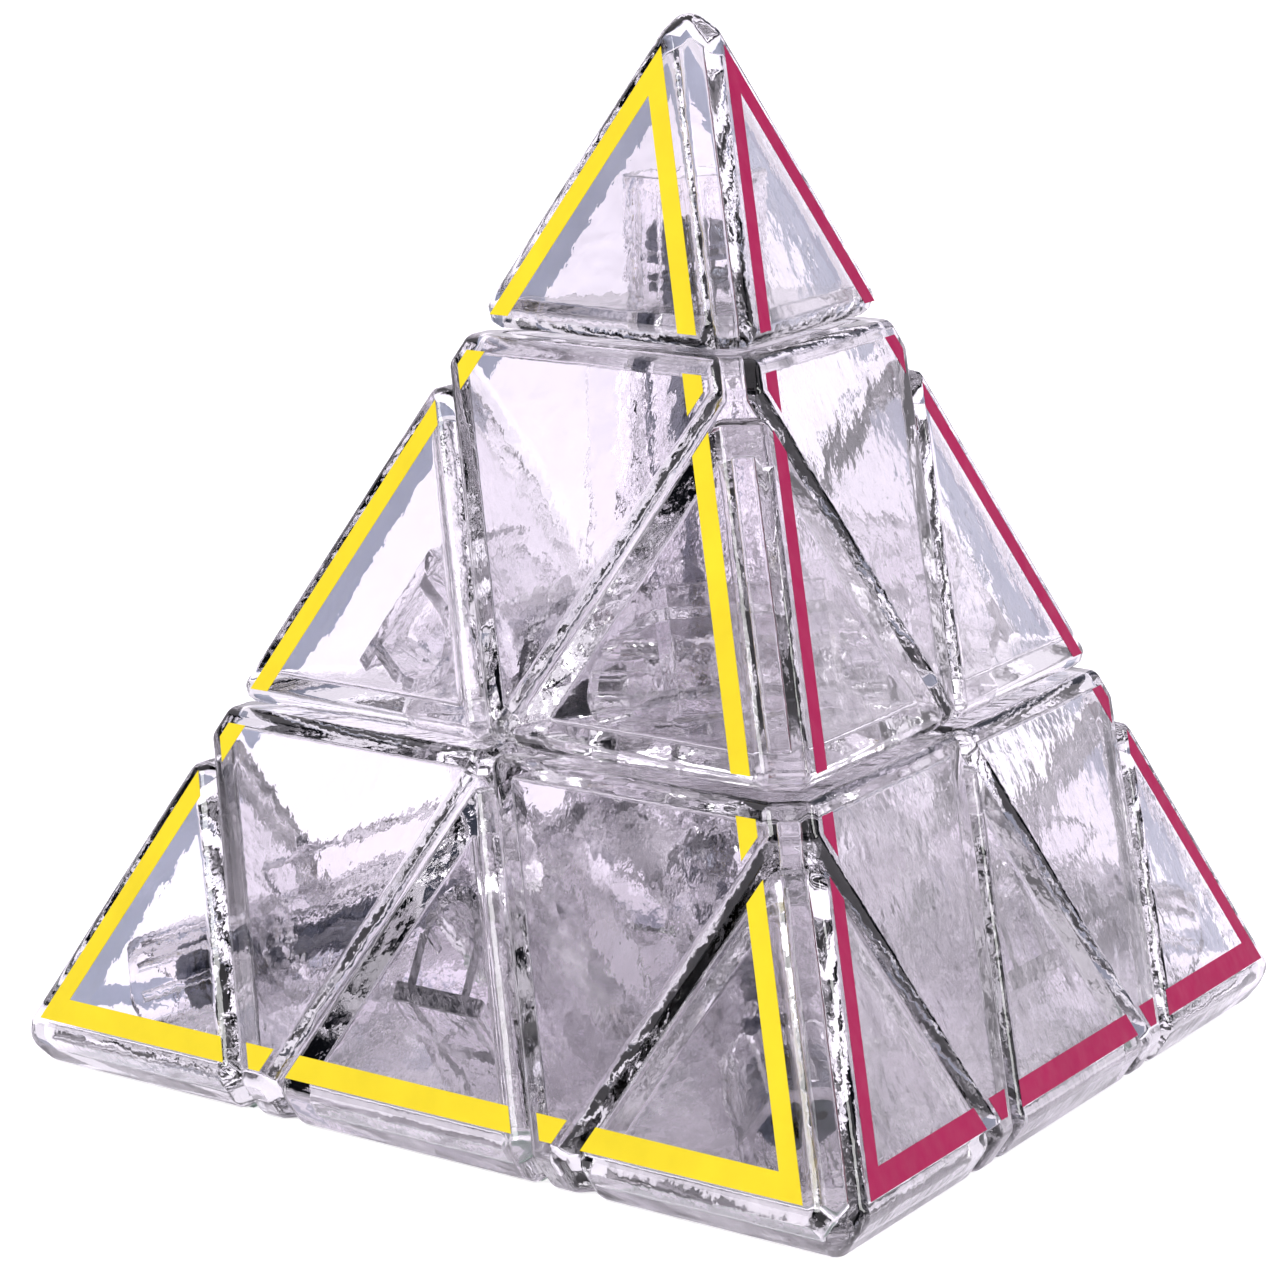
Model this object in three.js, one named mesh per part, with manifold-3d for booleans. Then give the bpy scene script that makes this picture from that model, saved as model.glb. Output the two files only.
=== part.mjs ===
// Pyramid twisty puzzle: a tetrahedron cut into 4 tips, 4 axial pieces and 6 edge pieces,
// all clear hollow plastic, held on a ball core by 4 long sprung screws.
// Millimetres, +Z up. The origin is the centre of the core, which is the tetrahedron's centroid.
// The three base corners are F (towards -Y), L (towards -X) and R (towards +X); T is the apex.
//
// How it turns: each vertex axis has one cutting boundary. Outside the ball cut it is a flat
// plane a third of the way to the face, so whole pieces slide past each other on it. Inside the
// ball cut it is a cone about the axis, so the edge pieces' feet swing past each other there.

import * as THREE from 'three';
import { ConvexGeometry } from 'three/addons/geometries/ConvexGeometry.js';
import { mergeVertices } from 'three/addons/utils/BufferGeometryUtils.js';
import Module from 'manifold-3d';

const wasm = await Module();
wasm.setup();

// ---- Driving dimensions ----
const EDGE = 108; // edge of the sharp tetrahedron, before its edges and corners are cut off
const HEIGHT = EDGE * Math.sqrt(2 / 3);
const FACE = HEIGHT / 4; // centre to each face
const CORNER = HEIGHT * 3 / 4; // centre to each sharp corner
const RIDGE = EDGE / Math.sqrt(8); // centre to the middle of each sharp edge
const LAYER_CUT = HEIGHT / 12; // centre to the plane between a layer and the rest
const TIP_CUT = HEIGHT * 5 / 12; // centre to the plane under a tip

const CHAMFER_INSET = 3.0; // measured along a face from the sharp edge
const CORNER_CUT = 5.4; // how much of each sharp corner is missing, along its axis
const SEAM = 0.4; // gap between neighbouring pieces
const FIT_GAP = 0.3; // gap between a plug or pin and the hole it sits in
const WALL = 1.8;
const PLUG_THICKNESS = 2.0;

const BALL_CUT = 17.1; // radius hollowed out of the axial and edge shells for the feet
const FOOT_OUTER = 16.6;
const FOOT_INNER = 10.4;
const FOOT_CONE = THREE.MathUtils.degToRad(74.5); // reach of a foot, as an angle from a layer axis
const FOOT_HALF_WIDTH = 7.4;
const FOOT_ARCH = { radius: 4.4, centre: 8.5 };
const NECK_TOP = 20.3;
const STEM_HALF_WIDTH = 2.9;
const BARREL = { radius: 3.8, wall: 1.0, centre: 23.5, top: 27.4, web: 1.2 };
const FLANGE = { halfWidth: 5.4, thickness: 1.2 };

const CORE = { radius: 10, armRadius: 3.5, armTop: 13 };
const HUB = { radius: 4.5, bore: 3.4, bottom: 13.3, floorTop: 20, ribRadius: 7.6, ribThickness: 1.1 };
const TIP_HUB = { radius: 4.5, bore: 3.5, top: 48.5 };
const SCREW = { radius: 1.5, tip: 5, headRadius: 2.9, headBottom: 42.9, headTop: 44.9 };
const SCREW_HOLE = SCREW.radius + FIT_GAP;
const SCREW_HOLE_END = 4.5;
const RECESS = { length: 3.4, width: 0.8, depth: 1.0 };
const WASHER = { inner: SCREW_HOLE, outer: 3.2, bottom: 42.0, thickness: 0.6 };
const SPRING = { coilRadius: 2.6, wireRadius: 0.35, bottom: 39.7, top: 41.3, turns: 2 };

const ROUND_SEGMENTS = 16;
const BALL_SEGMENTS = 24;
const SPRING_STEPS = 12; // straight stretches in each turn of a spring
const FAR = 200; // larger than the whole puzzle

// ---- Directions ----
const ring = (turn) => new THREE.Vector3(Math.sin(turn), -Math.cos(turn), 0)
  .multiplyScalar(Math.sqrt(8) / 3)
  .add(new THREE.Vector3(0, 0, -1 / 3));
const CORNERS = {
  T: new THREE.Vector3(0, 0, 1),
  F: ring(0),
  L: ring(-2 * Math.PI / 3),
  R: ring(2 * Math.PI / 3),
};
const EDGE_PAIRS = ['TF', 'TL', 'TR', 'FL', 'FR', 'LR'];

// ---- Solids ----
function solid(geometry) {
  geometry.deleteAttribute('normal');
  geometry.deleteAttribute('uv');
  const merged = mergeVertices(geometry, 1e-5);
  return new wasm.Manifold(new wasm.Mesh({
    numProp: 3,
    vertProperties: new Float32Array(merged.attributes.position.array),
    triVerts: new Uint32Array(merged.index.array),
  }));
}

// Where three planes meet, or null when they have no single common point.
function meetingPoint(a, b, c) {
  const bc = new THREE.Vector3().crossVectors(b.normal, c.normal);
  const volume = a.normal.dot(bc);
  if (Math.abs(volume) < 1e-6) return null;
  const ca = new THREE.Vector3().crossVectors(c.normal, a.normal);
  const ab = new THREE.Vector3().crossVectors(a.normal, b.normal);
  return bc.multiplyScalar(a.reach)
    .addScaledVector(ca, b.reach)
    .addScaledVector(ab, c.reach)
    .divideScalar(volume);
}

// The solid behind every one of the given planes.
function polytope(planes) {
  const points = [];
  const inside = (point) => planes.every((plane) => plane.normal.dot(point) < plane.reach + 1e-6);
  const known = (point) => points.some((other) => other.distanceTo(point) < 1e-4);
  for (let i = 0; i < planes.length; i++) {
    for (let j = i + 1; j < planes.length; j++) {
      for (let k = j + 1; k < planes.length; k++) {
        const point = meetingPoint(planes[i], planes[j], planes[k]);
        if (point && inside(point) && !known(point)) points.push(point);
      }
    }
  }
  return solid(new ConvexGeometry(points));
}

// A plane that keeps what lies below `reach` along `direction`.
const below = (direction, reach) => ({ normal: direction.clone(), reach });
// A plane that keeps what lies above `reach` along `direction`.
const above = (direction, reach) => ({ normal: direction.clone().negate(), reach: -reach });

// A round rod along the local Z axis.
function rod(radius, bottom, top) {
  const geometry = new THREE.CylinderGeometry(radius, radius, top - bottom, ROUND_SEGMENTS);
  geometry.rotateX(Math.PI / 2);
  geometry.translate(0, 0, (bottom + top) / 2);
  return solid(geometry);
}

function ball(radius) {
  return solid(new THREE.SphereGeometry(radius, BALL_SEGMENTS, BALL_SEGMENTS / 2));
}

// A box given by its size, centred on X and Y, with its bottom and top on Z.
function block(width, depth, bottom, top) {
  const geometry = new THREE.BoxGeometry(width, depth, top - bottom);
  geometry.translate(0, 0, (bottom + top) / 2);
  return solid(geometry);
}

// A wide cone with its point at the origin, opening along `direction`.
function coneAlong(direction, halfAngle, height) {
  const geometry = new THREE.ConeGeometry(height * Math.tan(halfAngle), height, 2 * BALL_SEGMENTS);
  geometry.translate(0, -height / 2, 0);
  geometry.applyQuaternion(new THREE.Quaternion().setFromUnitVectors(
    new THREE.Vector3(0, -1, 0),
    direction,
  ));
  return solid(geometry);
}

// ---- The tip and the axial piece, both modelled about the T axis ----
const UP = CORNERS.T;
const BASE_CORNERS = [CORNERS.F, CORNERS.L, CORNERS.R];
const CHAMFER_REACH = RIDGE - CHAMFER_INSET * Math.cos(Math.acos(1 / 3) / 2);

// The three outer faces at the apex and the chamfers between them, `inset` below the surface.
function apexFaces(inset) {
  const faces = BASE_CORNERS.map((corner) => above(corner, inset - FACE));
  const chamfers = BASE_CORNERS.map((corner) => {
    const middle = corner.clone().add(UP).normalize();
    return below(middle, CHAMFER_REACH - inset);
  });
  return [...faces, ...chamfers];
}

const tipBottom = TIP_CUT + SEAM / 2;
const axialTop = TIP_CUT - SEAM / 2;

function tipCap() {
  const outer = polytope([
    ...apexFaces(0),
    below(UP, CORNER - CORNER_CUT),
    above(UP, tipBottom),
  ]);
  const hollow = polytope([
    ...apexFaces(WALL),
    below(UP, CORNER - CORNER_CUT - WALL),
    above(UP, tipBottom - WALL),
  ]);
  return outer.subtract(hollow);
}

// The plate that closes an open shell: it sits inside the walls, with a hole for the screw.
function plugPlate(bottom) {
  const plate = polytope([
    ...apexFaces(WALL + FIT_GAP),
    above(UP, bottom),
    below(UP, bottom + PLUG_THICKNESS),
  ]);
  return plate.subtract(rod(SCREW_HOLE, bottom - 1, bottom + PLUG_THICKNESS + 1));
}

// The plug under the tip, with the tube round the screw's head. The tube's rim is trimmed to
// clear the cap's sloping walls.
function tipBase() {
  const floorTop = tipBottom + PLUG_THICKNESS;
  const room = polytope([
    ...apexFaces(WALL + FIT_GAP),
    above(UP, floorTop - PLUG_THICKNESS / 2),
    below(UP, TIP_HUB.top),
  ]);
  const tube = rod(TIP_HUB.radius, floorTop - PLUG_THICKNESS, TIP_HUB.top).intersect(room);
  return plugPlate(tipBottom)
    .add(tube)
    .subtract(rod(TIP_HUB.bore, floorTop, FAR))
    .subtract(rod(SCREW_HOLE, 0, FAR));
}

// The octahedron between the tip plane, the layer plane and the three neighbouring layer planes.
function axialBody(inset, top) {
  const layerSides = BASE_CORNERS.map((corner) => below(corner, LAYER_CUT - SEAM / 2 - inset));
  const body = polytope([
    ...apexFaces(inset),
    ...layerSides,
    above(UP, LAYER_CUT + SEAM / 2 + inset),
    below(UP, top),
  ]);
  return body.subtract(ball(BALL_CUT + inset));
}

function axialShell() {
  const hubTop = axialTop - PLUG_THICKNESS - FIT_GAP;
  const rib = block(2 * HUB.ribRadius, HUB.ribThickness, BALL_CUT + FIT_GAP, hubTop);
  const ribs = rib.add(rib.rotate([0, 0, 60])).add(rib.rotate([0, 0, 120]));
  return axialBody(0, axialTop)
    .subtract(axialBody(WALL, axialTop + WALL))
    .add(ribs)
    .add(rod(HUB.radius, HUB.bottom, hubTop))
    .subtract(rod(HUB.bore, HUB.floorTop, FAR))
    .subtract(rod(SCREW_HOLE, 0, FAR));
}

function axialCap() {
  return plugPlate(axialTop - PLUG_THICKNESS);
}

// ---- The edge piece: local Z runs out through the ridge, X along the ridge ----
const OUT = new THREE.Vector3(0, 0, 1);
const SIN = Math.sqrt(2 / 3);
const COS = Math.sqrt(1 / 3);
const LAYER_AXES = [new THREE.Vector3(SIN, 0, COS), new THREE.Vector3(-SIN, 0, COS)];
const FAR_CORNERS = [new THREE.Vector3(0, SIN, -COS), new THREE.Vector3(0, -SIN, -COS)];

// The tetrahedron between two layer planes and two outer faces, `inset` below its surface.
function edgeBody(inset) {
  return polytope([
    ...LAYER_AXES.map((axis) => above(axis, LAYER_CUT + SEAM / 2 + inset)),
    ...FAR_CORNERS.map((corner) => above(corner, inset - FACE)),
    below(OUT, CHAMFER_REACH - inset),
  ]);
}

function edgeShell() {
  const pocket = block(FAR, 2 * (FOOT_HALF_WIDTH + FIT_GAP), 0, NECK_TOP + FIT_GAP);
  return edgeBody(0)
    .subtract(edgeBody(WALL).subtract(ball(BALL_CUT + WALL)))
    .subtract(ball(BALL_CUT))
    .subtract(pocket);
}

// A D-shaped bar along the local Y axis, with its round side towards the core.
function dBar(radius, top) {
  const outline = new THREE.Shape();
  outline.moveTo(radius, top);
  outline.lineTo(-radius, top);
  outline.absarc(0, BARREL.centre, radius, Math.PI, 2 * Math.PI, false);
  const geometry = new THREE.ExtrudeGeometry(outline, {
    depth: FAR / 2,
    bevelEnabled: false,
    curveSegments: ROUND_SEGMENTS / 2,
  });
  geometry.rotateX(Math.PI / 2);
  geometry.translate(0, FAR / 4, 0);
  return solid(geometry);
}

// The foot under the axial pieces' rims, its neck between the layer planes, and the D-shaped
// barrel that reaches up inside the shell, hollow from both ends to a web in the middle.
function edgeFoot() {
  const slab = block(FAR, 2 * FOOT_HALF_WIDTH, 0, NECK_TOP);
  const arch = rod(FOOT_ARCH.radius, -FAR, FAR).rotate([0, 90, 0]).translate([0, 0, FOOT_ARCH.centre]);
  let foot = ball(FOOT_OUTER).subtract(ball(FOOT_INNER)).intersect(slab);
  for (const axis of LAYER_AXES) {
    foot = foot.intersect(coneAlong(axis, FOOT_CONE, BALL_CUT));
  }
  const neck = edgeBody(0).intersect(slab);
  const stem = block(2 * STEM_HALF_WIDTH, 1.6 * FOOT_HALF_WIDTH, NECK_TOP - 1, BARREL.centre);
  const flange = block(2 * FLANGE.halfWidth, FAR / 2, BARREL.top - FLANGE.thickness, BARREL.top);
  const web = block(FAR, BARREL.web, 0, BARREL.top);
  const room = polytope([
    ...FAR_CORNERS.map((corner) => above(corner, WALL + SEAM - FACE)),
    above(OUT, 0),
    below(OUT, BARREL.top),
    below(new THREE.Vector3(1, 0, 0), FAR),
    above(new THREE.Vector3(1, 0, 0), -FAR),
  ]);
  const barrel = dBar(BARREL.radius, BARREL.top)
    .add(flange)
    .intersect(room)
    .add(stem)
    .subtract(dBar(BARREL.radius - BARREL.wall, BARREL.top - FLANGE.thickness).subtract(web));
  return foot.subtract(arch).add(neck).add(barrel);
}

// ---- Core, screws, washers and springs ----
function core() {
  let body = ball(CORE.radius);
  const arm = rod(CORE.armRadius, 0, CORE.armTop);
  const hole = rod(SCREW_HOLE, SCREW_HOLE_END, FAR);
  for (const letter of Object.keys(CORNERS)) {
    body = body.add(arm.transform(cornerPlace(letter).elements));
  }
  for (const letter of Object.keys(CORNERS)) {
    body = body.subtract(hole.transform(cornerPlace(letter).elements));
  }
  return body;
}

function screw() {
  const slotBottom = SCREW.headTop - RECESS.depth;
  return rod(SCREW.radius, SCREW.tip, SCREW.headTop - RECESS.depth)
    .add(rod(SCREW.headRadius, SCREW.headBottom, SCREW.headTop))
    .subtract(block(RECESS.length, RECESS.width, slotBottom, FAR))
    .subtract(block(RECESS.width, RECESS.length, slotBottom, FAR));
}

function washer() {
  const top = WASHER.bottom + WASHER.thickness;
  return rod(WASHER.outer, WASHER.bottom, top).subtract(rod(WASHER.inner, 0, FAR));
}

class Helix extends THREE.Curve {
  getPoint(t, target = new THREE.Vector3()) {
    const turn = 2 * Math.PI * SPRING.turns * t;
    const height = SPRING.bottom + (SPRING.top - SPRING.bottom) * t;
    return target.set(SPRING.coilRadius * Math.cos(turn), SPRING.coilRadius * Math.sin(turn), height);
  }
}

function spring() {
  const section = new THREE.Shape();
  section.absarc(0, 0, SPRING.wireRadius, 0, 2 * Math.PI, false);
  return solid(new THREE.ExtrudeGeometry(section, {
    steps: SPRING_STEPS * SPRING.turns,
    curveSegments: 3,
    bevelEnabled: false,
    extrudePath: new Helix(),
  }));
}

// ---- Placing ----
// Turns a piece modelled about the T axis onto another corner's axis.
function cornerPlace(letter) {
  const along = CORNERS[letter];
  const partner = letter === 'F' ? CORNERS.T : CORNERS.F;
  const side = new THREE.Vector3().crossVectors(along, partner).normalize();
  const front = new THREE.Vector3().crossVectors(along, side);
  return new THREE.Matrix4().makeBasis(side, front, along);
}

// Turns an edge piece onto the ridge between two corners.
function edgePlace(pair) {
  const [first, second] = [...pair].map((letter) => CORNERS[letter]);
  const along = first.clone().sub(second).normalize();
  const out = first.clone().add(second).normalize();
  return new THREE.Matrix4().makeBasis(along, new THREE.Vector3().crossVectors(out, along), out);
}

const clearPlastic = { color: 0xefecf7, roughness: 0.06, metalness: 0 };
const steel = { color: 0xb9bdc4, roughness: 0.3, metalness: 1 };

const puzzle = new THREE.Group();

function place(name, body, finish, matrix = new THREE.Matrix4()) {
  const { vertProperties, triVerts } = body.getMesh();
  const geometry = new THREE.BufferGeometry();
  geometry.setAttribute('position', new THREE.BufferAttribute(new Float32Array(vertProperties), 3));
  geometry.setIndex(new THREE.BufferAttribute(new Uint32Array(triVerts), 1));
  const mesh = new THREE.Mesh(geometry, new THREE.MeshStandardMaterial(finish));
  mesh.name = name;
  mesh.quaternion.setFromRotationMatrix(matrix);
  puzzle.add(mesh);
}

const cornerPieces = [
  ['tip_cap', tipCap(), clearPlastic],
  ['tip_base', tipBase(), clearPlastic],
  ['axial_shell', axialShell(), clearPlastic],
  ['axial_cap', axialCap(), clearPlastic],
  ['screw', screw(), steel],
  ['washer', washer(), steel],
  ['spring', spring(), steel],
];
const edgePieces = [
  ['edge_shell', edgeShell(), clearPlastic],
  ['edge_foot', edgeFoot(), clearPlastic],
];

place('core', core(), clearPlastic);
for (const letter of Object.keys(CORNERS)) {
  for (const [name, body, finish] of cornerPieces) {
    place(`${name}_${letter}`, body, finish, cornerPlace(letter));
  }
}
for (const pair of EDGE_PAIRS) {
  for (const [name, body, finish] of edgePieces) {
    place(`${name}_${pair}`, body, finish, edgePlace(pair));
  }
}

export default puzzle;
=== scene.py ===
"""Looks of a clear pyramid twisty puzzle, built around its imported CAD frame.

Every moulded piece is built again here at full smoothness, from the same dimensions as the CAD,
and stands for its CAD node. Pieces are shaped in millimetres about one corner's axis or one
ridge, then turned onto every corner or ridge and scaled to metres.
"""

import itertools
import math

import bmesh
import bpy
from mathutils import Matrix, Vector


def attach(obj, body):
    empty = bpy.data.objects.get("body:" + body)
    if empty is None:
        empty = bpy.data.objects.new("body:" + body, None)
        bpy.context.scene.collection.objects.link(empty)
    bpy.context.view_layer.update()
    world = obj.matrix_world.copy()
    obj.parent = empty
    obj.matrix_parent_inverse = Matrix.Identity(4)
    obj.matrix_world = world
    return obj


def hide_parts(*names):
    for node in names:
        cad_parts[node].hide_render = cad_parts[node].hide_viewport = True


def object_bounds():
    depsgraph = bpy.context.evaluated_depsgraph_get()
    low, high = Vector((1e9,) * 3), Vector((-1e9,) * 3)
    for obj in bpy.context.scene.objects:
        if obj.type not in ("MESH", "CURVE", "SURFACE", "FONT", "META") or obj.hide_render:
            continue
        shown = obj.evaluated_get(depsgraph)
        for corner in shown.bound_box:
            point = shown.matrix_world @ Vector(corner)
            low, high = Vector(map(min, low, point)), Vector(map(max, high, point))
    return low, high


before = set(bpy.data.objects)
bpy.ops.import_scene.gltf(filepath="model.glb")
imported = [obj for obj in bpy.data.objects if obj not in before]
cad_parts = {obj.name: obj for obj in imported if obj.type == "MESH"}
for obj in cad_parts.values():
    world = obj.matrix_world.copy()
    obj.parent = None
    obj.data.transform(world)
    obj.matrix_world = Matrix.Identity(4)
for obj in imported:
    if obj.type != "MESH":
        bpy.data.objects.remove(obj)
cad_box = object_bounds()

# ---- Driving dimensions, in millimetres ----
MM = 0.001
FACE = -cad_box[0][2] / MM  # centre to each face: the puzzle rests on its base face
HEIGHT = 4 * FACE
EDGE = HEIGHT / math.sqrt(2 / 3)
CORNER = 3 * FACE
RIDGE = EDGE / math.sqrt(8)
LAYER_CUT = HEIGHT / 12
TIP_CUT = 5 * HEIGHT / 12
FACE_HEIGHT = EDGE * math.sqrt(3) / 2

CHAMFER_INSET = 3.0
CORNER_CUT = 5.4
SEAM = 0.4
FIT_GAP = 0.3
WALL = 1.8
PLUG = 2.0
TIP_ROUND = 1.4
OUTER_ROUND = 1.1
INNER_ROUND = 0.4
PLUG_ROUND = 0.25

BALL_CUT = 17.1
FOOT_OUTER = 16.6
FOOT_INNER = 10.4
FOOT_CONE = math.radians(74.5)
FOOT_HALF_WIDTH = 7.4
ARCH_RADIUS = 4.4
ARCH_CENTRE = 8.5
NECK_TOP = 20.3
STEM_HALF_WIDTH = 2.9
STEM_HALF_DEPTH = 5.9
BARREL_RADIUS = 3.8
BARREL_WALL = 1.0
BARREL_CENTRE = 23.5
BARREL_TOP = 27.4
BARREL_WEB = 1.2
STEM_BOTTOM = NECK_TOP - 1  # the stem is rooted inside the neck
FLANGE_HALF_WIDTH = 5.4
FLANGE = 1.2

CORE_RADIUS = 10.0
ARM_RADIUS = 3.5
ARM_TOP = 13.0
HUB_RADIUS = 4.5
HUB_BORE = 3.4
HUB_BOTTOM = 13.3
HUB_FLOOR = 20.0
RIB_REACH = 7.6
RIB_THICKNESS = 1.1
HUB_GROOVES = 12
BARREL_GROOVES = 7
GROOVE_RADIUS = 0.42
GROOVE_SEGMENTS = 16
GROOVE_STOP = 1.0  # plain ring above the grooves of a hub tube
BARREL_GROOVE_END = 2.6 * BARREL_RADIUS
TIP_HUB_BORE = 3.5
TIP_HUB_TOP = 48.5

SCREW_RADIUS = 1.5
SCREW_HOLE = SCREW_RADIUS + FIT_GAP
SCREW_TIP = 5.0
HOLE_END = 4.5
HEAD_RADIUS = 2.9
HEAD_BOTTOM = 42.9
HEAD_TOP = 44.9
WASHER_OUTER = 3.2
WASHER_BOTTOM = 42.0
WASHER_THICKNESS = 0.6
SPRING_RADIUS = 2.6
SPRING_WIRE = 0.35
SPRING_BOTTOM = 39.7
SPRING_TOP = 41.3
SPRING_TURNS = 2

INK_INSET = 4.1  # face edge to the outline's outer side
INK_WIDTH = 1.9
INK_MARGIN = 1.45  # seam to the end of each stretch of outline
# A hair of air under the ink keeps it out of the reflections inside the wall.
INK_BOTTOM = 0.01
INK_TOP = 0.04

ROUND_STEPS = 4
BALL_SEGMENTS = 96
ROD_SEGMENTS = 48
FAR = 200.0

# ---- Directions ----
UP = Vector((0, 0, 1))


def base_corner(turn):
    flat = Vector((math.sin(turn), -math.cos(turn), 0))
    return flat * (math.sqrt(8) / 3) - UP / 3


CORNERS = {
    "T": UP,
    "F": base_corner(0),
    "L": base_corner(-2 * math.pi / 3),
    "R": base_corner(2 * math.pi / 3),
}
EDGE_PAIRS = ["TF", "TL", "TR", "FL", "FR", "LR"]
# Each face is named by the corner opposite it.
FACE_SLOTS = {"R": "outline_yellow", "L": "outline_red", "F": "outline_blue", "T": "outline_green"}


def link(item):
    bpy.context.scene.collection.objects.link(item)


# ---- Solids: meshes in millimetres ----
def mesh_from(bm, name="solid"):
    mesh = bpy.data.meshes.new(name)
    bm.to_mesh(mesh)
    bm.free()
    return mesh


def below(direction, reach):
    return (Vector(direction), reach)


def above(direction, reach):
    return (-Vector(direction), -reach)


def corners_of(planes):
    """Each corner of the solid behind the planes, with the normals of the planes that meet there."""
    corners = []
    for three in itertools.combinations(planes, 3):
        rows = Matrix([normal for normal, _ in three])
        if abs(rows.determinant()) < 1e-6:
            continue
        point = rows.inverted() @ Vector([reach for _, reach in three])
        if any(normal.dot(point) > reach + 1e-4 for normal, reach in planes):
            continue
        if any((point - other).length < 1e-3 for other, _ in corners):
            continue
        normals = [normal for normal, reach in planes if abs(normal.dot(point) - reach) < 1e-3]
        corners.append((point, normals))
    return corners


def rounded_polytope(planes, radius):
    """The convex solid behind the planes, with its edges and corners rounded."""
    bm = bmesh.new()
    inner = [(normal, reach - radius) for normal, reach in planes]
    for point, normals in corners_of(inner):
        for three in itertools.combinations(normals, 3):
            for i in range(ROUND_STEPS + 1):
                for j in range(ROUND_STEPS + 1 - i):
                    k = ROUND_STEPS - i - j
                    way = (three[0] * i + three[1] * j + three[2] * k).normalized()
                    bm.verts.new(point + way * radius)
    bmesh.ops.remove_doubles(bm, verts=bm.verts, dist=1e-4)
    hull = bmesh.ops.convex_hull(bm, input=bm.verts)
    inside = [v for v in hull["geom_interior"] + hull["geom_unused"] if isinstance(v, bmesh.types.BMVert)]
    bmesh.ops.delete(bm, geom=inside, context="VERTS")
    bmesh.ops.recalc_face_normals(bm, faces=bm.faces)
    return mesh_from(bm)


def bridge(bm, lower, upper):
    """Faces between two rings of vertices. A ring may be one vertex repeated."""
    count = len(lower)
    for step in range(count):
        after = (step + 1) % count
        loop = [lower[step], lower[after], upper[after], upper[step]]
        bm.faces.new(list(dict.fromkeys(loop)))


def rod(radius, bottom, top, segments=ROD_SEGMENTS):
    """A round rod along Z."""
    bm = bmesh.new()
    place = Matrix.Translation((0, 0, (bottom + top) / 2))
    bmesh.ops.create_cone(bm, cap_ends=True, segments=segments, radius1=radius, radius2=radius,
                          depth=top - bottom, matrix=place)
    return mesh_from(bm)


def ball(radius):
    bm = bmesh.new()
    bmesh.ops.create_uvsphere(bm, u_segments=BALL_SEGMENTS, v_segments=BALL_SEGMENTS // 2, radius=radius)
    return mesh_from(bm)


def block(width, depth, bottom, top):
    bm = bmesh.new()
    size = Matrix.Diagonal((width, depth, top - bottom, 1))
    bmesh.ops.create_cube(bm, matrix=Matrix.Translation((0, 0, (bottom + top) / 2)) @ size)
    return mesh_from(bm)


def cone_along(direction, half_angle, height):
    """A cone with its point at the origin, opening along the direction."""
    bm = bmesh.new()
    turn = UP.rotation_difference(direction).to_matrix().to_4x4()
    bmesh.ops.create_cone(bm, cap_ends=True, segments=2 * BALL_SEGMENTS, radius1=0,
                          radius2=height * math.tan(half_angle), depth=height,
                          matrix=turn @ Matrix.Translation((0, 0, height / 2)))
    return mesh_from(bm)


def moved(mesh, matrix):
    copy = mesh.copy()
    copy.transform(matrix)
    return copy


def combine(first, second, operation):
    """One boolean operation on two meshes, as a new mesh."""
    a = bpy.data.objects.new("a", first)
    b = bpy.data.objects.new("b", second)
    for item in (a, b):
        link(item)
    modifier = a.modifiers.new("boolean", "BOOLEAN")
    modifier.object = b
    modifier.operation = operation
    modifier.solver = "MANIFOLD"
    graph = bpy.context.evaluated_depsgraph_get()
    result = bpy.data.meshes.new_from_object(a.evaluated_get(graph))
    for item in (a, b):
        bpy.data.objects.remove(item)
    return result


def cut(first, *others):
    for other in others:
        first = combine(first, other, "DIFFERENCE")
    return first


def join(first, *others):
    for other in others:
        first = combine(first, other, "UNION")
    return first


def common(first, *others):
    for other in others:
        first = combine(first, other, "INTERSECT")
    return first


# ---- The tip and the axial piece, about the apex axis ----
CHAMFER_REACH = RIDGE - CHAMFER_INSET * math.cos(math.acos(1 / 3) / 2)
TIP_BOTTOM = TIP_CUT + SEAM / 2
AXIAL_TOP = TIP_CUT - SEAM / 2


def apex_faces(inset):
    """The three outer faces at the apex and the chamfers between them."""
    planes = []
    for letter in "FLR":
        planes.append(above(CORNERS[letter], inset - FACE))
        planes.append(below((CORNERS[letter] + UP).normalized(), CHAMFER_REACH - inset))
    return planes


def tip_cap():
    outer = rounded_polytope(
        apex_faces(0) + [below(UP, CORNER - CORNER_CUT), above(UP, TIP_BOTTOM)], TIP_ROUND)
    hollow = rounded_polytope(
        apex_faces(WALL) + [below(UP, CORNER - CORNER_CUT - WALL), above(UP, TIP_BOTTOM - 2 * WALL)],
        INNER_ROUND)
    return cut(outer, hollow)


def plug_plate(bottom):
    """The plate that closes an open shell, with a hole for the screw."""
    plate = rounded_polytope(
        apex_faces(WALL + FIT_GAP) + [above(UP, bottom), below(UP, bottom + PLUG)], PLUG_ROUND)
    return cut(plate, rod(SCREW_HOLE, 0, FAR))


def grooved(tube, bottom, top):
    """A hub tube with fine upright grooves moulded round it."""
    groove = rod(GROOVE_RADIUS, bottom, top, GROOVE_SEGMENTS)
    turns = [2 * math.pi * step / HUB_GROOVES for step in range(HUB_GROOVES)]
    places = [Matrix.Translation((HUB_RADIUS * math.cos(a), HUB_RADIUS * math.sin(a), 0)) for a in turns]
    return cut(tube, *[moved(groove, place) for place in places])


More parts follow.
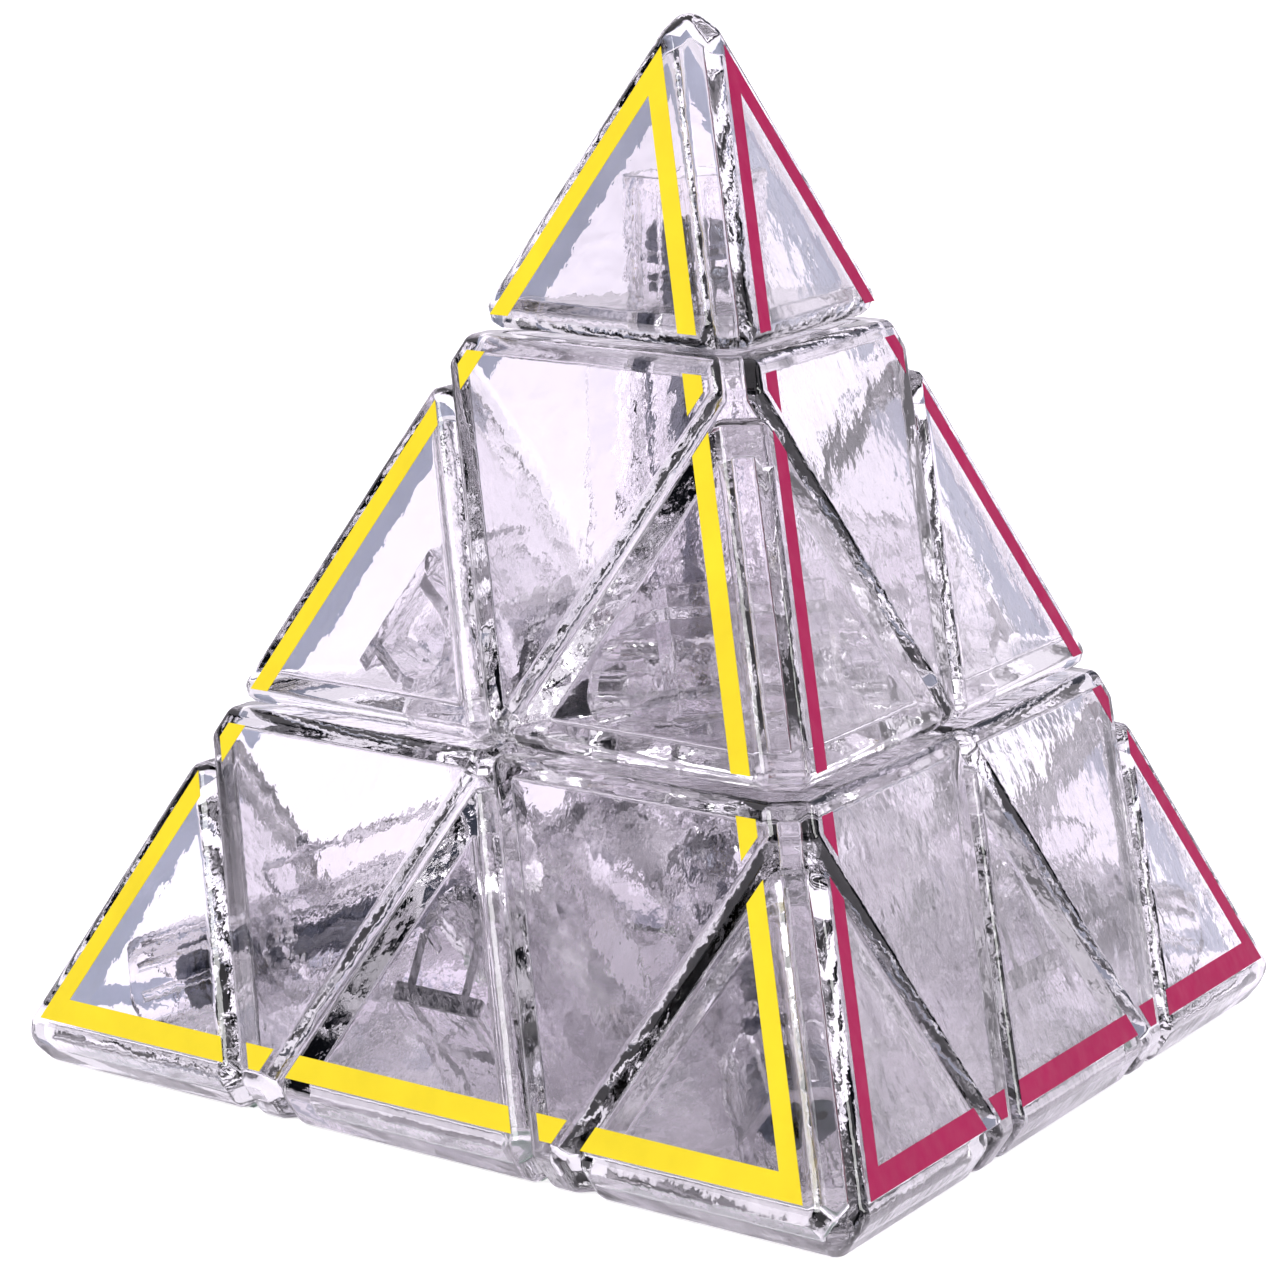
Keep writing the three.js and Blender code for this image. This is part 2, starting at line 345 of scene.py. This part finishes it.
def tip_base():
    floor_top = TIP_BOTTOM + PLUG
    room = rounded_polytope(
        apex_faces(WALL + FIT_GAP) + [above(UP, floor_top - PLUG / 2), below(UP, TIP_HUB_TOP)], PLUG_ROUND)
    tube = rod(HUB_RADIUS, floor_top - PLUG, TIP_HUB_TOP)
    tube = common(grooved(tube, floor_top + GROOVE_RADIUS, TIP_HUB_TOP - GROOVE_STOP), room)
    base = join(plug_plate(TIP_BOTTOM), tube)
    return cut(base, rod(TIP_HUB_BORE, floor_top, FAR), rod(SCREW_HOLE, 0, FAR))


def axial_body(inset, top, radius):
    """The octahedron between the tip plane and the layer planes, hollowed by the ball cut."""
    sides = [below(CORNERS[letter], LAYER_CUT - SEAM / 2 - inset) for letter in "FLR"]
    planes = apex_faces(inset) + sides + [above(UP, LAYER_CUT + SEAM / 2 + inset), below(UP, top)]
    return cut(rounded_polytope(planes, radius), ball(BALL_CUT + inset))


def axial_shell():
    hub_top = AXIAL_TOP - PLUG - FIT_GAP
    shell = cut(axial_body(0, AXIAL_TOP, OUTER_ROUND), axial_body(WALL, AXIAL_TOP + 2 * WALL, INNER_ROUND))
    rib = block(2 * RIB_REACH, RIB_THICKNESS, BALL_CUT + FIT_GAP, hub_top)
    ribs = [moved(rib, Matrix.Rotation(math.radians(turn), 4, "Z")) for turn in (0, 60, 120)]
    hub = grooved(rod(HUB_RADIUS, HUB_BOTTOM, hub_top), HUB_FLOOR, hub_top - GROOVE_STOP)
    shell = join(shell, *ribs, hub)
    return cut(shell, rod(HUB_BORE, HUB_FLOOR, FAR), rod(SCREW_HOLE, 0, FAR))


def axial_cap():
    return plug_plate(AXIAL_TOP - PLUG)


# ---- The edge piece: Z runs out through the ridge, X along it ----
SIN = math.sqrt(2 / 3)
COS = math.sqrt(1 / 3)
LAYER_AXES = [Vector((SIN, 0, COS)), Vector((-SIN, 0, COS))]
FAR_CORNERS = [Vector((0, SIN, -COS)), Vector((0, -SIN, -COS))]


def edge_body(inset, radius):
    """The tetrahedron between two layer planes and two outer faces."""
    planes = [above(axis, LAYER_CUT + SEAM / 2 + inset) for axis in LAYER_AXES]
    planes += [above(corner, inset - FACE) for corner in FAR_CORNERS]
    return rounded_polytope(planes + [below(UP, CHAMFER_REACH - inset)], radius)


def edge_shell():
    pocket = block(FAR, 2 * (FOOT_HALF_WIDTH + FIT_GAP), 0, NECK_TOP + FIT_GAP)
    hollow = cut(edge_body(WALL, INNER_ROUND), ball(BALL_CUT + WALL))
    return cut(edge_body(0, OUTER_ROUND), hollow, ball(BALL_CUT), pocket)


def d_bar(radius, top):
    """A D-shaped bar along Y, with its round side towards the core."""
    bm = bmesh.new()
    outline = [(radius, top), (-radius, top)]
    for step in range(ROD_SEGMENTS // 2 + 1):
        turn = math.pi + math.pi * step / (ROD_SEGMENTS // 2)
        outline.append((radius * math.cos(turn), BARREL_CENTRE + radius * math.sin(turn)))
    face = bm.faces.new([bm.verts.new((x, -FAR / 4, z)) for x, z in outline])
    grown = bmesh.ops.extrude_face_region(bm, geom=[face])["geom"]
    ends = [v for v in grown if isinstance(v, bmesh.types.BMVert)]
    bmesh.ops.translate(bm, verts=ends, vec=(0, FAR / 2, 0))
    bmesh.ops.recalc_face_normals(bm, faces=bm.faces)
    return mesh_from(bm)


def barrel_grooves():
    """Fine grooves along the round side of the barrel, on both sides of its web and stem."""
    grooves = []
    for step in range(BARREL_GROOVES):
        turn = math.pi * (1 + (step + 0.5) / BARREL_GROOVES)
        height = BARREL_CENTRE + BARREL_RADIUS * math.sin(turn)
        edge = Matrix.Translation((BARREL_RADIUS * math.cos(turn), 0, height))
        for way in (-1, 1):
            along = Matrix.Rotation(-way * math.pi / 2, 4, "X")
            groove = rod(GROOVE_RADIUS, STEM_HALF_DEPTH, BARREL_GROOVE_END, GROOVE_SEGMENTS)
            grooves.append(moved(groove, edge @ along))
    return grooves


def edge_foot():
    slab = block(FAR, 2 * FOOT_HALF_WIDTH, 0, NECK_TOP)
    across = Matrix.Translation((0, 0, ARCH_CENTRE)) @ Matrix.Rotation(math.pi / 2, 4, "Y")
    arch = moved(rod(ARCH_RADIUS, -FAR, FAR), across)
    foot = common(cut(ball(FOOT_OUTER), ball(FOOT_INNER)), slab)
    foot = common(foot, *[cone_along(axis, FOOT_CONE, BALL_CUT) for axis in LAYER_AXES])
    neck = common(edge_body(0, PLUG_ROUND), slab)
    stem = block(2 * STEM_HALF_WIDTH, 2 * STEM_HALF_DEPTH, STEM_BOTTOM, BARREL_CENTRE)
    flange = block(2 * FLANGE_HALF_WIDTH, FAR / 2, BARREL_TOP - FLANGE, BARREL_TOP)
    sides = [above(corner, WALL + SEAM - FACE) for corner in FAR_CORNERS]
    sides += [above(UP, 0), below(UP, BARREL_TOP)]
    sides += [below((1, 0, 0), FLANGE_HALF_WIDTH), below((-1, 0, 0), FLANGE_HALF_WIDTH)]
    barrel = common(join(d_bar(BARREL_RADIUS, BARREL_TOP - FLANGE / 2), flange),
                    rounded_polytope(sides, PLUG_ROUND))
    bore = cut(d_bar(BARREL_RADIUS - BARREL_WALL, BARREL_TOP - FLANGE), block(FAR, BARREL_WEB, 0, FAR))
    barrel = cut(join(barrel, stem), bore, *barrel_grooves())
    return join(cut(foot, arch), neck, barrel)


# ---- Placing ----
def corner_place(letter):
    """Turns a piece modelled about the apex axis onto another corner's axis."""
    along = CORNERS[letter]
    partner = CORNERS["T"] if letter == "F" else CORNERS["F"]
    side = along.cross(partner).normalized()
    return Matrix((side, along.cross(side), along)).transposed().to_4x4()


def edge_place(pair):
    """Turns an edge piece onto the ridge between two corners."""
    first, second = CORNERS[pair[0]], CORNERS[pair[1]]
    along = (first - second).normalized()
    out = (first + second).normalized()
    return Matrix((along, out.cross(along), out)).transposed().to_4x4()


# ---- Core, screws, washers and springs ----
def core():
    body = ball(CORE_RADIUS)
    for letter in CORNERS:
        body = join(body, moved(rod(ARM_RADIUS, 0, ARM_TOP), corner_place(letter)))
    for letter in CORNERS:
        body = cut(body, moved(rod(SCREW_HOLE, HOLE_END, FAR), corner_place(letter)))
    return body


def revolved(outline, segments=ROD_SEGMENTS):
    """The (radius, height) outline turned about Z. An outline that leaves the axis is closed on itself."""
    bm = bmesh.new()
    rings = []
    for radius, height in outline:
        if radius < 1e-6:
            rings.append([bm.verts.new((0, 0, height))] * segments)
            continue
        angles = [2 * math.pi * step / segments for step in range(segments)]
        rings.append([bm.verts.new((radius * math.cos(a), radius * math.sin(a), height)) for a in angles])
    pairs = list(zip(rings, rings[1:]))
    if outline[0][0] > 1e-6:
        pairs.append((rings[-1], rings[0]))
    for lower, upper in pairs:
        bridge(bm, lower, upper)
    bmesh.ops.recalc_face_normals(bm, faces=bm.faces)
    return mesh_from(bm)


def screw():
    """A pan-head screw with a cross recess and a thread on the end that sits in the core."""
    thread_top = 16.0
    pitch = 1.0
    depth = 0.22
    steps_per_pitch = 6
    segments = 24
    bm = bmesh.new()
    rings = []
    count = int((thread_top - SCREW_TIP) / pitch * steps_per_pitch)
    for row in range(count + 1):
        height = SCREW_TIP + row * pitch / steps_per_pitch
        fade = min(1.0, (thread_top - height) / pitch)
        ring = []
        for step in range(segments):
            turn = step / segments
            wave = abs(((height / pitch - turn) % 1) * 2 - 1)
            radius = SCREW_RADIUS - depth * (1 - wave) * fade
            angle = 2 * math.pi * turn
            ring.append(bm.verts.new((radius * math.cos(angle), radius * math.sin(angle), height)))
        rings.append(ring)
    for lower, upper in zip(rings, rings[1:]):
        bridge(bm, lower, upper)
    bm.faces.new(reversed(rings[0]))
    bm.faces.new(rings[-1])
    shaft = mesh_from(bm)
    crown = 0.6
    crown_inset = 0.9
    shoulder_inset = crown_inset / 3
    plain_bottom = thread_top - pitch / 2
    head = revolved([
        (0, plain_bottom), (SCREW_RADIUS, plain_bottom), (SCREW_RADIUS, HEAD_BOTTOM),
        (HEAD_RADIUS, HEAD_BOTTOM), (HEAD_RADIUS, HEAD_TOP - crown),
        (HEAD_RADIUS - shoulder_inset, HEAD_TOP - crown / 3), (HEAD_RADIUS - crown_inset, HEAD_TOP),
        (0, HEAD_TOP)])
    slot_length = 3.4
    slot_width = 0.8
    slot_bottom = HEAD_TOP - 1.0
    slot = block(slot_length, slot_width, slot_bottom, FAR)
    cross_slot = block(slot_width, slot_length, slot_bottom, FAR)
    return cut(join(shaft, head), slot, cross_slot)


def washer():
    top = WASHER_BOTTOM + WASHER_THICKNESS
    soft = 0.12
    return revolved([
        (SCREW_HOLE, WASHER_BOTTOM), (WASHER_OUTER - soft, WASHER_BOTTOM),
        (WASHER_OUTER, WASHER_BOTTOM + soft), (WASHER_OUTER, top - soft),
        (WASHER_OUTER - soft, top), (SCREW_HOLE, top)])


def spring():
    """A helical wire, closed at both ends."""
    bm = bmesh.new()
    sides = 10
    steps_per_turn = 28
    steps = steps_per_turn * SPRING_TURNS
    rings = []
    for row in range(steps + 1):
        t = row / steps
        angle = 2 * math.pi * SPRING_TURNS * t
        height = SPRING_BOTTOM + (SPRING_TOP - SPRING_BOTTOM) * t
        out = Vector((math.cos(angle), math.sin(angle), 0))
        centre = out * SPRING_RADIUS + UP * height
        ring = []
        for side in range(sides):
            turn = 2 * math.pi * side / sides
            ring.append(bm.verts.new(centre + (out * math.cos(turn) + UP * math.sin(turn)) * SPRING_WIRE))
        rings.append(ring)
    for lower, upper in zip(rings, rings[1:]):
        bridge(bm, lower, upper)
    bm.faces.new(rings[0])
    bm.faces.new(rings[-1])
    bmesh.ops.recalc_face_normals(bm, faces=bm.faces)
    return mesh_from(bm)


# ---- Materials ----
PLASTIC_IOR = 1.52


def node_material(name):
    material = bpy.data.materials.new(name)
    material.use_nodes = True
    tree = material.node_tree
    return tree, tree.nodes["Principled BSDF"], material


def noise(tree, scale, detail=3.0, roughness=0.5):
    node = tree.nodes.new("ShaderNodeTexNoise")
    node.inputs["Scale"].default_value = scale
    node.inputs["Detail"].default_value = detail
    node.inputs["Roughness"].default_value = roughness
    where = tree.nodes.new("ShaderNodeTexCoord")
    tree.links.new(where.outputs["Object"], node.inputs["Vector"])
    return node.outputs["Fac"]


def spread(tree, value, low, high):
    """A noise value, which lies mostly between 0.3 and 0.7, carried into the range low to high."""
    node = tree.nodes.new("ShaderNodeMapRange")
    node.inputs["From Min"].default_value = 0.3
    node.inputs["From Max"].default_value = 0.7
    node.inputs["To Min"].default_value = low
    node.inputs["To Max"].default_value = high
    tree.links.new(value, node.inputs["Value"])
    return node.outputs["Result"]


def bumps(tree, shader, *layers):
    """Stacks bump layers, each a (height, distance in metres) pair."""
    before = None
    for height, distance in layers:
        node = tree.nodes.new("ShaderNodeBump")
        node.inputs["Distance"].default_value = distance
        tree.links.new(height, node.inputs["Height"])
        if before:
            tree.links.new(before, node.inputs["Normal"])
        before = node.outputs["Normal"]
    tree.links.new(before, shader.inputs["Normal"])


def mottled(tree, shader, colour, shade, factor):
    """Base colour between a darker shade of the colour and the colour itself."""
    mix = tree.nodes.new("ShaderNodeMix")
    mix.data_type = "RGBA"
    mix.inputs["A"].default_value = (*[shade * c for c in colour], 1)
    mix.inputs["B"].default_value = (*colour, 1)
    tree.links.new(factor, mix.inputs["Factor"])
    tree.links.new(mix.outputs["Result"], shader.inputs["Base Color"])


def clear_plastic(name, tint, rough, ripple, grain):
    """Clear plastic with a moulding ripple and a fine grain, both heights in metres.

    Its finish varies over the two rough values."""
    tree, shader, material = node_material(name)
    shader.inputs["Base Color"].default_value = (*tint, 1)
    shader.inputs["Transmission Weight"].default_value = 1.0
    shader.inputs["IOR"].default_value = PLASTIC_IOR
    tree.links.new(spread(tree, noise(tree, 90, 4), *rough), shader.inputs["Roughness"])
    wide_ripple = noise(tree, 60, 1)
    small_ripple = noise(tree, 240, 2)
    fine_grain = noise(tree, 1100, 2)
    bumps(tree, shader, (wide_ripple, ripple), (small_ripple, ripple / 4), (fine_grain, grain))
    return material


def metal(name, colour, rough, scale):
    """Plated steel: patchy sheen and fine drawing marks."""
    tree, shader, material = node_material(name)
    mottled(tree, shader, colour, 0.72, noise(tree, scale, 5))
    shader.inputs["Metallic"].default_value = 1.0
    sheen = spread(tree, noise(tree, scale * 2), rough - 0.1, rough + 0.12)
    tree.links.new(sheen, shader.inputs["Roughness"])
    bumps(tree, shader, (noise(tree, scale * 6), 0.00001))
    return material


def ink(name, colour, sheer):
    """Screen-printed ink: slightly uneven cover, satin gloss. Sheer ink lets more light through."""
    tree, shader, material = node_material(name)
    mottled(tree, shader, colour, 0.86, spread(tree, noise(tree, 160, 5, 0.6), 0.2, 1.0))
    shader.inputs["Specular IOR Level"].default_value = 0.1
    shader.inputs["Transmission Weight"].default_value = sheer
    tree.links.new(spread(tree, noise(tree, 600, 3), 0.38, 0.55), shader.inputs["Roughness"])
    bumps(tree, shader, (noise(tree, 1800, 2), 0.000006))
    return material


MATERIALS = {
    "clear_plastic": clear_plastic("clear_plastic", (0.995, 0.984, 0.998), (0.0, 0.045), 0.00045, 0.00002),
    "inner_plastic": clear_plastic("inner_plastic", (0.99, 0.978, 0.995), (0.02, 0.14), 0.0007, 0.00006),
    "core_plastic": clear_plastic("core_plastic", (0.985, 0.972, 0.99), (0.0, 0.08), 0.0008, 0.00004),
    "screw_steel": metal("screw_steel", (0.13, 0.14, 0.17), 0.2, 300),
    "spring_steel": metal("spring_steel", (0.09, 0.1, 0.12), 0.25, 400),
    "outline_yellow": ink("outline_yellow", (0.78, 0.62, 0.02), 0.03),
    "outline_red": ink("outline_red", (0.36, 0.002, 0.068), 0.03),
    "outline_blue": ink("outline_blue", (0.6, 0.67, 0.78), 0.8),
    "outline_green": ink("outline_green", (0.62, 0.76, 0.68), 0.8),
}


# ---- Finishing and placing the pieces ----
WELD = 2e-4
FLAT_ANGLE = math.radians(0.2)
SHARP_ANGLE = math.radians(40)


def finished(mesh, slot, name):
    """Cleans a solid, sets its shading and scales it to metres. Made once for each kind of piece."""
    bm = bmesh.new()
    bm.from_mesh(mesh)
    bmesh.ops.remove_doubles(bm, verts=bm.verts, dist=WELD)
    bmesh.ops.dissolve_degenerate(bm, edges=bm.edges, dist=WELD)
    bmesh.ops.dissolve_limit(bm, angle_limit=FLAT_ANGLE, verts=bm.verts, edges=bm.edges)
    done = mesh_from(bm, name)
    done.transform(Matrix.Scale(MM, 4))
    done.shade_smooth()
    done.set_sharp_from_angle(angle=SHARP_ANGLE)
    done.materials.clear()
    done.materials.append(MATERIALS[slot])
    return done


def put(name, mesh, body, place, node=None):
    """Places a copy of the mesh on a body. A piece with a node stands for that CAD node."""
    piece = bpy.data.objects.new(name, moved(mesh, place))
    link(piece)
    if node:
        normals = piece.modifiers.new("flat faces stay flat", "WEIGHTED_NORMAL")
        normals.keep_sharp = True
        normals.weight = 60
        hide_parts(node)
    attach(piece, body)


def corner_pieces():
    kinds = [
        ("tip_cap", tip_cap, "tip_", "clear_plastic"),
        ("tip_base", tip_base, "tip_", "inner_plastic"),
        ("axial_shell", axial_shell, "axial_", "clear_plastic"),
        ("axial_cap", axial_cap, "axial_", "inner_plastic"),
        ("screw", screw, None, "screw_steel"),
        ("washer", washer, None, "screw_steel"),
        ("spring", spring, None, "spring_steel"),
    ]
    for kind, build, body, slot in kinds:
        mesh = finished(build(), slot, kind)
        for letter in CORNERS:
            rides = body + letter if body else "core"
            put(f"{kind}_{letter}_piece", mesh, rides, corner_place(letter), f"{kind}_{letter}")


def edge_pieces():
    kinds = [("edge_shell", edge_shell, "clear_plastic"), ("edge_foot", edge_foot, "inner_plastic")]
    for kind, build, slot in kinds:
        mesh = finished(build(), slot, kind)
        for pair in EDGE_PAIRS:
            put(f"{kind}_{pair}_piece", mesh, f"edge_{pair}", edge_place(pair), f"{kind}_{pair}")


def core_piece():
    mesh = finished(core(), "core_plastic", "core")
    put("core_piece", mesh, "core", Matrix.Identity(4), "core")


# ---- The coloured outline on each face ----
def face_point(face, distances):
    """The point of a face at the given distances, in millimetres, from two or three of its sides.

    A side is named by the corner of the face that it doesn't touch."""
    letters = [letter for letter in CORNERS if letter != face]
    known = dict(distances)
    for letter in letters:
        if letter not in known:
            known[letter] = FACE_HEIGHT - sum(known.values())
    return sum((CORNERS[letter] * CORNER * known[letter] / FACE_HEIGHT for letter in letters), Vector())


def ink_patch(name, face, outline, body):
    """A thin skin of ink on a face, from the points of its outline."""
    slot = FACE_SLOTS[face]
    out = -CORNERS[face]
    bm = bmesh.new()
    low = [bm.verts.new((point + out * INK_BOTTOM) * MM) for point in outline]
    high = [bm.verts.new((point + out * INK_TOP) * MM) for point in outline]
    bm.faces.new(low)
    bm.faces.new(high)
    bridge(bm, low, high)
    bmesh.ops.recalc_face_normals(bm, faces=bm.faces)
    mesh = mesh_from(bm, name)
    mesh.materials.append(MATERIALS[slot])
    put(name, mesh, body, Matrix.Identity(4))


def face_outline(face):
    """A V on each tip, a bit on either side of each axial corner and a strip on each edge piece."""
    inner = INK_INSET + INK_WIDTH
    third = FACE_HEIGHT / 3
    letters = [letter for letter in CORNERS if letter != face]
    for letter in letters:
        one, other = [item for item in letters if item != letter]
        end = 2 * third + INK_MARGIN
        stops = [
            {one: INK_INSET, letter: end}, {one: INK_INSET, other: INK_INSET},
            {other: INK_INSET, letter: end}, {other: inner, letter: end},
            {one: inner, other: inner}, {one: inner, letter: end},
        ]
        points = [face_point(face, stop) for stop in stops]
        ink_patch(f"outline_tip_{letter}_face_{face}", face, points, f"tip_{letter}")
        for side in (one, other):
            neighbour = other if side == one else one
            limits = ({letter: 2 * third - INK_MARGIN}, {neighbour: third - INK_MARGIN})
            stops = [
                {side: INK_INSET, **limits[0]}, {side: INK_INSET, **limits[1]},
                {side: inner, **limits[1]}, {side: inner, **limits[0]},
            ]
            points = [face_point(face, stop) for stop in stops]
            ink_patch(f"outline_axial_{letter}_to_{neighbour}_face_{face}", face, points, f"axial_{letter}")
    for pair in EDGE_PAIRS:
        if face in pair:
            continue
        side = next(letter for letter in letters if letter not in pair)
        end = third + INK_MARGIN
        stops = [
            {side: INK_INSET, pair[0]: end}, {side: INK_INSET, pair[1]: end},
            {side: inner, pair[1]: end}, {side: inner, pair[0]: end},
        ]
        points = [face_point(face, stop) for stop in stops]
        ink_patch(f"outline_edge_{pair}_face_{face}", face, points, f"edge_{pair}")


# ---- Studio: floor, light and camera ----
FLOOR_HALF = 6.0
DOME_RADIUS = 8.0
MATT = 0.9
PALE = (0.9, 0.85, 0.945)
DARK = (0.035, 0.04, 0.06)
SLATE = (0.16, 0.18, 0.22)
# What the camera sees of the floor, and what the plastic sees of it
FLOOR_TONE = (0.82, 0.82, 0.82)
FLOOR_TONE_IN_PLASTIC = (0.78, 0.745, 0.81)


def only_seen_by(item, *rays):
    for ray in ("camera", "diffuse", "glossy", "transmission", "shadow", "volume_scatter"):
        setattr(item, f"visible_{ray}", ray in rays)


def floor(name, drop, tone, glow):
    """A plain floor, a little below the puzzle's base."""
    bm = bmesh.new()
    bmesh.ops.create_grid(bm, x_segments=1, y_segments=1, size=FLOOR_HALF)
    mesh = mesh_from(bm, name)
    item = bpy.data.objects.new(name, mesh)
    item.location.z = cad_box[0][2] - drop
    link(item)
    tree, shader, material = node_material(name)
    mottled(tree, shader, tone, 0.98, noise(tree, 3))
    shader.inputs["Emission Color"].default_value = (*tone, 1)
    shader.inputs["Emission Strength"].default_value = glow
    shader.inputs["Roughness"].default_value = MATT
    mesh.materials.append(material)
    return item


def studio_world():
    """A pale studio with dark flags, so that clear edges have something dark to bend."""
    world = bpy.data.worlds.new("studio")
    bpy.context.scene.world = world
    world.use_nodes = True
    tree = world.node_tree
    background = tree.nodes["Background"]
    where = tree.nodes.new("ShaderNodeTexCoord")
    split = tree.nodes.new("ShaderNodeSeparateXYZ")
    tree.links.new(where.outputs["Generated"], split.inputs["Vector"])

    def math_node(operation, first, second):
        node = tree.nodes.new("ShaderNodeMath")
        node.operation = operation
        for socket, value in zip(node.inputs, (first, second)):
            if isinstance(value, (int, float)):
                socket.default_value = value
            else:
                tree.links.new(value, socket)
        return node.outputs[0]

    def ramp(value, stops):
        node = tree.nodes.new("ShaderNodeValToRGB")
        elements = node.color_ramp.elements
        while len(elements) < len(stops):
            elements.new(0.5)
        for element, (place, colour) in zip(elements, stops):
            element.position = place
            element.color = (*colour, 1)
        tree.links.new(value, node.inputs["Fac"])
        return node.outputs["Color"]

    def flags(value, bands):
        """Pale, with a dark band over each stretch of the value. A band's edges are a little soft."""
        soft = 0.006
        stops = []
        for start, end in bands:
            stops += [(start - soft, PALE), (start + soft, DARK), (end - soft, DARK), (end + soft, PALE)]
        return ramp(value, [stop for stop in stops if 0 <= stop[0] <= 1])

    def lighter(first, second):
        node = tree.nodes.new("ShaderNodeMix")
        node.data_type = "RGBA"
        node.blend_type = "LIGHTEN"
        node.inputs["Factor"].default_value = 1.0
        tree.links.new(first, node.inputs["A"])
        tree.links.new(second, node.inputs["B"])
        return node.outputs["Result"]

    turn = math_node("ARCTAN2", split.outputs["X"], split.outputs["Y"])
    around = math_node("ADD", math_node("DIVIDE", turn, 2 * math.pi), 0.5)
    lift = math_node("MULTIPLY", math_node("ADD", split.outputs["Z"], 1.0), 0.5)
    # Around, 0.5 is straight behind the puzzle, 0.25 is its left, and 0 and 1 are the camera's side.
    zones = flags(around, [(-1, 0.06), (0.12, 0.19), (0.29, 0.35), (0.66, 0.74), (0.77, 0.87), (0.93, 2)])
    height = flags(lift, [(-1, 0.76), (0.80, 0.88)])
    tree.links.new(lighter(zones, height), background.inputs["Color"])
    background.inputs["Strength"].default_value = 1.0


def backdrop():
    """A plain white dome behind everything, which only the camera sees."""
    bm = bmesh.new()
    bmesh.ops.create_icosphere(bm, subdivisions=4, radius=DOME_RADIUS)
    mesh = mesh_from(bm, "backdrop")
    _, shader, material = node_material("backdrop_white")
    shader.inputs["Base Color"].default_value = (1, 1, 1, 1)
    shader.inputs["Emission Color"].default_value = (1, 1, 1, 1)
    shader.inputs["Emission Strength"].default_value = 1.0
    mesh.materials.append(material)
    item = bpy.data.objects.new("backdrop", mesh)
    link(item)
    only_seen_by(item, "camera")


def card(name, centre, width, height, facing, colour):
    """A flat studio card that the camera doesn't see, but clear plastic bends into view."""
    bm = bmesh.new()
    size = Matrix.Diagonal((width, height, 1, 1))
    turn = Vector(facing).to_track_quat("Z", "Y").to_matrix().to_4x4()
    bmesh.ops.create_grid(bm, x_segments=1, y_segments=1, size=0.5,
                          matrix=Matrix.Translation(centre) @ turn @ size)
    mesh = mesh_from(bm, name)
    _, shader, material = node_material(name)
    shader.inputs["Base Color"].default_value = (*colour, 1)
    shader.inputs["Roughness"].default_value = MATT
    mesh.materials.append(material)
    item = bpy.data.objects.new(name, mesh)
    link(item)
    only_seen_by(item, "glossy", "transmission")


def softbox(name, position, size, power):
    data = bpy.data.lights.new(name, "AREA")
    data.shape = "RECTANGLE"
    data.size, data.size_y = size
    data.energy = power
    lamp = bpy.data.objects.new(name, data)
    link(lamp)
    lamp.location = position
    lamp.rotation_euler = (-Vector(position)).to_track_quat("-Z", "Y").to_euler()


def camera():
    """A long lens, a little above the puzzle and a little to its left."""
    azimuth = math.radians(-8.39)
    elevation = math.radians(8.06)
    roll = math.radians(-1.2)
    edge = EDGE * MM
    distance = 5.085 * edge
    slide = Vector((-0.0455, 0.1275)) * edge
    back = Vector((math.sin(azimuth) * math.cos(elevation), -math.cos(azimuth) * math.cos(elevation),
                   math.sin(elevation)))
    level = Vector((math.cos(azimuth), math.sin(azimuth), 0))
    upright = back.cross(level)
    right = level * math.cos(roll) + upright * math.sin(roll)
    top = upright * math.cos(roll) - level * math.sin(roll)
    data = bpy.data.cameras.new("camera")
    data.sensor_width = 36
    data.lens = 203.3
    data.clip_start = 0.01
    data.clip_end = 50
    item = bpy.data.objects.new("camera", data)
    link(item)
    place = Matrix.Translation(back * distance + right * slide.x + top * slide.y)
    item.matrix_world = place @ Matrix((right, top, back)).transposed().to_4x4()
    bpy.context.scene.camera = item


def render_quality():
    scene = bpy.context.scene
    scene.view_settings.view_transform = "Standard"
    cycles = scene.cycles
    cycles.max_bounces = 24
    cycles.transmission_bounces = 24
    cycles.glossy_bounces = 8
    cycles.diffuse_bounces = 3
    cycles.sample_clamp_indirect = 4.0
    cycles.blur_glossy = 0.5


camera()
seen_floor = floor("floor", 0.0001, FLOOR_TONE, 0.85)
only_seen_by(seen_floor, "camera")
bent_floor = floor("floor_in_plastic", 0.0002, FLOOR_TONE_IN_PLASTIC, 0.5)
only_seen_by(bent_floor, "diffuse", "glossy", "transmission")
card("back_card", (0.25, 0.30, 0.225), 0.24, 0.20, (-0.56, -0.66, -0.5), SLATE)
card("floor_card", (0.12, 0.22, cad_box[0][2] + 0.0006), 0.12, 0.10, (0, 0, 1), SLATE)
studio_world()
backdrop()
softbox("key", (-0.7, -0.6, 0.9), (0.6, 0.6), 11)
softbox("fill", (0.9, -0.4, 0.5), (0.25, 0.8), 6)
render_quality()
corner_pieces()
edge_pieces()
core_piece()
for face_name in CORNERS:
    face_outline(face_name)
